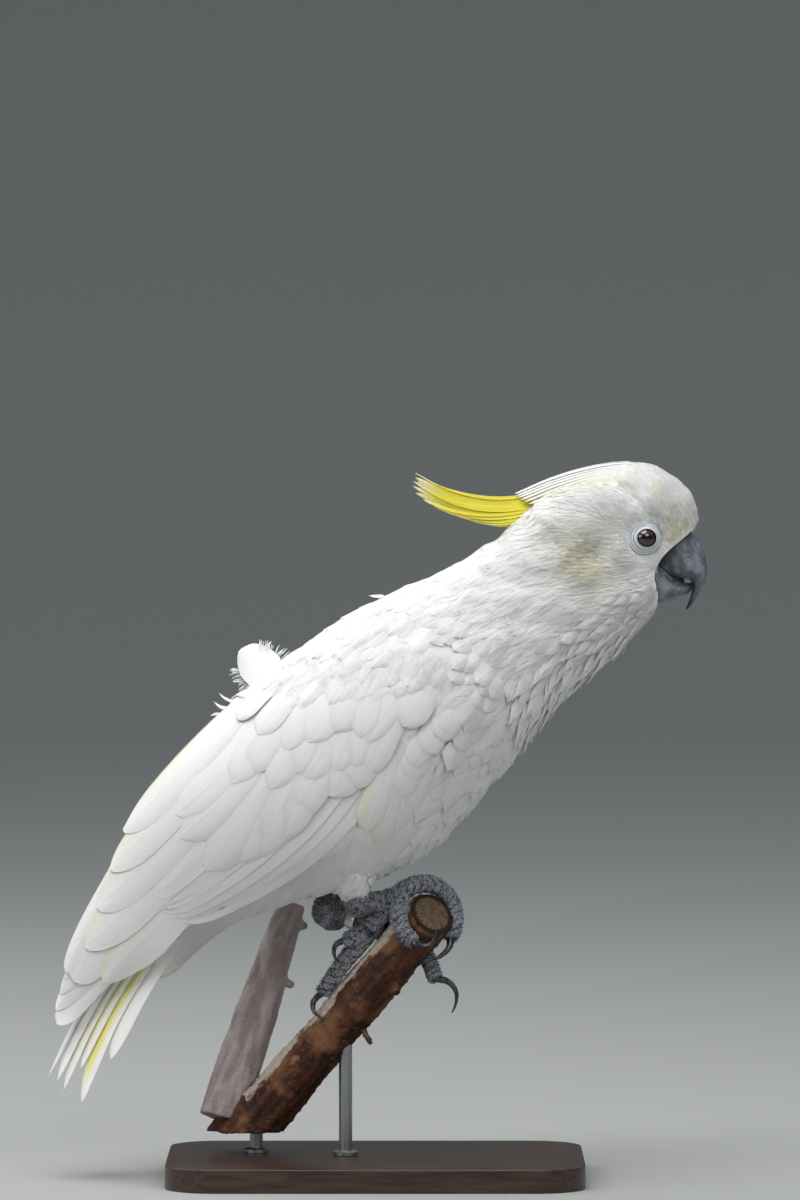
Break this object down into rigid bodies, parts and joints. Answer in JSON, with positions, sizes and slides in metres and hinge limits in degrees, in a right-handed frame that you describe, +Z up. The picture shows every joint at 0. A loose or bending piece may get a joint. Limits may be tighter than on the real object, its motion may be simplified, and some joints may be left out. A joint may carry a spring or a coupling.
{
  "type": "cockatoo model",
  "caption": "Life-size white cockatoo with a yellow crest, leaning forward on the end of a branch, as a still model on a display stand.",
  "frame": {"origin": "middle of the stand base's underside", "axes": "+X the way the bird faces, +Y the bird's left, +Z up from the floor"},
  "size_m": [0.3982, 0.17, 0.4319],
  "materials": {
    "plumage": "matt white feathers",
    "crest": "matt sulphur-yellow feathers",
    "bill": "powdery dark grey horn",
    "tongue": "dark grey, slightly moist",
    "claws": "satin black horn",
    "foot_skin": "dark grey scaly skin",
    "eye_ring": "pale blue-white bare skin, finely wrinkled",
    "eyes": "glossy dark red-brown iris round a black pupil",
    "band": "plain satin ring",
    "bark": "brown bark with a paler sawn end",
    "stand_wood": "dark satin wood",
    "stand_rods": "plain steel rod"
  },
  "bodies": {
    "root": {"back_plume": "plumage", "bill_lower": "bill", "bill_upper": "bill", "claw_left_1": "claws", "claw_left_2": "claws", "claw_left_3": "claws", "claw_left_4": "claws", "claw_right_1": "claws", "claw_right_2": "claws", "claw_right_3": "claws", "claw_right_4": "claws", "crest": "crest", "eye_left": "eyes", "eye_right": "eyes", "eye_ring_left": "eye_ring", "eye_ring_right": "eye_ring", "head": "plumage", "leg_band": "band", "neck": "plumage", "perch_branch": "bark", "perch_fork": "bark", "stand_base": "stand_wood", "stand_rod_front": "stand_rods", "stand_rod_rear": "stand_rods", "tail": "plumage", "tarsus_left": "foot_skin", "tarsus_right": "foot_skin", "thigh_left": "plumage", "thigh_right": "plumage", "toe_left_1": "foot_skin", "toe_left_2": "foot_skin", "toe_left_3": "foot_skin", "toe_left_4": "foot_skin", "toe_right_1": "foot_skin", "toe_right_2": "foot_skin", "toe_right_3": "foot_skin", "toe_right_4": "foot_skin", "tongue": "tongue", "trunk": "plumage", "wing_left_coverts": "plumage", "wing_left_primaries": "plumage", "wing_left_secondaries": "plumage", "wing_right_coverts": "plumage", "wing_right_primaries": "plumage", "wing_right_secondaries": "plumage"}
  },
  "joints": []
}
